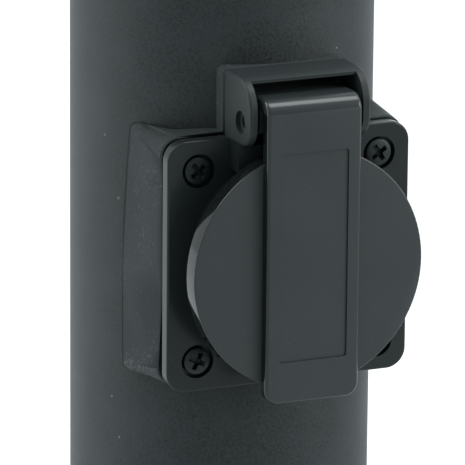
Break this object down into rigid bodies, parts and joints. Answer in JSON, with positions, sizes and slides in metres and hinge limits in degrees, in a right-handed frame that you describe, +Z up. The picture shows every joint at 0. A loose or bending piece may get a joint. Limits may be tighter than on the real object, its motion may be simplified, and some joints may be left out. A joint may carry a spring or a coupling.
{
  "type": "garden socket post",
  "caption": "Round metal garden post on a bolted foot, with an earthed socket under a sprung hinged lid on its front wall.",
  "frame": {"origin": "middle of the foot's underside, on the ground", "axes": "+Z up the post, the socket faces -Y, +X to the right of someone facing the socket"},
  "size_m": [0.11, 0.11, 0.4],
  "materials": {
    "powder_coat": "fine texture, matt",
    "saddle_rubber": "matt, moulded grain",
    "black_plastic": "satin",
    "insert_plastic": "satin",
    "seal_rubber": "matt",
    "pad_rubber": "matt",
    "black_screw": "black zinc, semi-gloss",
    "zinc_steel": "zinc plated",
    "stainless": "ground",
    "spring_steel": "drawn wire",
    "brass": "bright",
    "block_plastic": "satin",
    "brown_lead": "smooth",
    "blue_lead": "smooth",
    "earth_lead": "smooth"
  },
  "bodies": {
    "post": {"post_tube": "powder_coat", "top_cap": "powder_coat", "cap_seal": "seal_rubber", "base_flange": "powder_coat", "base_pad": "pad_rubber", "base_grub_screws": "stainless", "cable_grommet": "seal_rubber", "saddle": "saddle_rubber", "flange_gasket": "seal_rubber", "socket_body": "black_plastic", "contact_insert": "insert_plastic", "contact_live": "brass", "contact_neutral": "brass", "earth_strap": "brass", "earth_terminal": "brass", "terminal_screws": "zinc_steel", "rear_cover": "black_plastic", "rear_cover_screws": "zinc_steel", "flange_screws": "black_screw", "hinge_pin": "stainless", "lid_spring": "spring_steel", "terminal_block": "block_plastic", "block_inserts": "brass", "block_clamp_screws": "zinc_steel", "block_fixing_screws": "zinc_steel", "terminal_bracket": "zinc_steel", "bracket_screws": "stainless", "earth_stud": "zinc_steel", "earth_nuts": "zinc_steel", "lead_live": "brown_lead", "lead_neutral": "blue_lead", "lead_earth": "earth_lead"},
    "lid": {"lid": "black_plastic", "lid_seal": "seal_rubber"}
  },
  "joints": [
    {"name": "lid_hinge", "type": "hinge", "parent": "post", "child": "lid", "pos_m": [0, -0.0384, 0.3492], "axis": [-1, 0, 0], "range_deg": [0, 95], "stiffness_Nm_per_rad": 0.012, "springref_deg": -68.75, "deforming": ["lid_spring"]}
  ]
}
